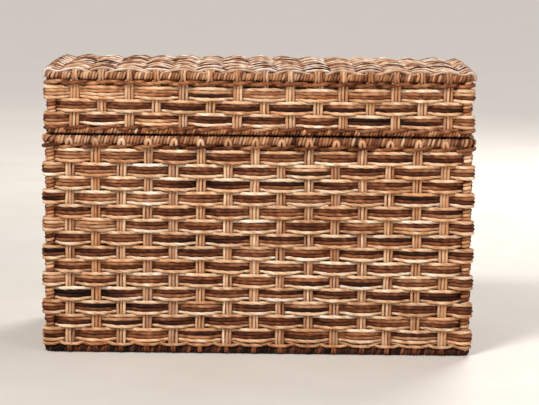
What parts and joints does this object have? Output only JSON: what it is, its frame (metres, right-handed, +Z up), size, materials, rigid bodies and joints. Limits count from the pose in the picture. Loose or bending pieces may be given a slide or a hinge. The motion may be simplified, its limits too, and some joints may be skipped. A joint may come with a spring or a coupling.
{
  "type": "woven storage trunk",
  "caption": "Rectangular woven cane storage trunk with wrapped rim rods and a hinged woven lid held open by two sliding lid stays.",
  "frame": {"origin": "on the floor, at the middle of the trunk's outline seen from above", "axes": "+X along the trunk's length to the right seen from the front, +Y from the front to the hinged back, +Z up"},
  "size_m": [0.711, 0.406, 0.4711],
  "materials": {
    "weave": "split cane and twisted leaf strands, waxed, streaked tan and dark brown",
    "stake_cane": "peeled round cane, satin",
    "post_cane": "peeled thick cane, satin",
    "core_rod": "round rattan pole, hidden under its wrapping",
    "rod_wrapping": "tight spiral of twisted leaf cord, matt",
    "twine": "two-strand twisted leaf cord, dark reddish brown",
    "hinge_metal": "steel with an antique bronze colour",
    "rivet_metal": "dulled brass",
    "stay_metal": "steel with an antique bronze colour"
  },
  "bodies": {
    "trunk": {"base_rod": "core_rod", "base_wrap": "rod_wrapping", "base_twine": "twine", "base_stakes": "stake_cane", "base_panel": "weave", "corner_post_front_left": "post_cane", "corner_post_front_right": "post_cane", "corner_post_back_left": "post_cane", "corner_post_back_right": "post_cane", "front_stakes": "stake_cane", "back_stakes": "stake_cane", "left_stakes": "stake_cane", "right_stakes": "stake_cane", "weave_course_01": "weave", "weave_course_02": "weave", "weave_course_03": "weave", "weave_course_04": "weave", "weave_course_05": "weave", "weave_course_06": "weave", "weave_course_07": "weave", "weave_course_08": "weave", "weave_course_09": "weave", "weave_course_10": "weave", "weave_course_11": "weave", "weave_course_12": "weave", "weave_course_13": "weave", "weave_course_14": "weave", "rim_twine": "twine", "rim_rod": "core_rod", "rim_wrap": "rod_wrapping", "hinge_leaf_body_left": "hinge_metal", "hinge_leaf_body_right": "hinge_metal", "hinge_pin_left": "hinge_metal", "hinge_pin_right": "hinge_metal", "stay_stud_left": "stay_metal", "stay_stud_right": "stay_metal", "body_rivets": "rivet_metal"},
    "lid": {"lid_rim_rod": "core_rod", "lid_rim_wrap": "rod_wrapping", "lid_rim_twine": "twine", "lid_corner_posts": "post_cane", "lid_stakes": "stake_cane", "lid_course_1": "weave", "lid_course_2": "weave", "lid_course_3": "weave", "lid_top_twine": "twine", "lid_top_rod": "core_rod", "lid_top_wrap": "rod_wrapping", "lid_top_stakes": "stake_cane", "lid_top_panel": "weave", "hinge_leaf_lid_left": "hinge_metal", "hinge_leaf_lid_right": "hinge_metal", "stay_pivot_left": "stay_metal", "stay_pivot_right": "stay_metal", "lid_rivets": "rivet_metal"},
    "stay_left": {"stay_arm_left": "stay_metal"},
    "stay_right": {"stay_arm_right": "stay_metal"}
  },
  "joints": [
    {"name": "lid_hinge", "type": "hinge", "parent": "trunk", "child": "lid", "pos_m": [0, 0.2004, 0.36316], "axis": [-1, 0, 0], "range_deg": [0, 100]},
    {"name": "stay_left_pivot", "type": "hinge", "parent": "lid", "child": "stay_left", "pos_m": [-0.3294, 0.0667, 0.38436], "axis": [1, 0, 0], "range_deg": [0, 50]},
    {"name": "stay_right_pivot", "type": "hinge", "parent": "lid", "child": "stay_right", "pos_m": [0.3294, 0.0667, 0.38436], "axis": [1, 0, 0], "range_deg": [0, 50]}
  ],
  "couplings": [
    {"joint": "stay_left_pivot", "follows": "lid_hinge", "ratio": 0.5},
    {"joint": "stay_right_pivot", "follows": "lid_hinge", "ratio": 0.5}
  ]
}
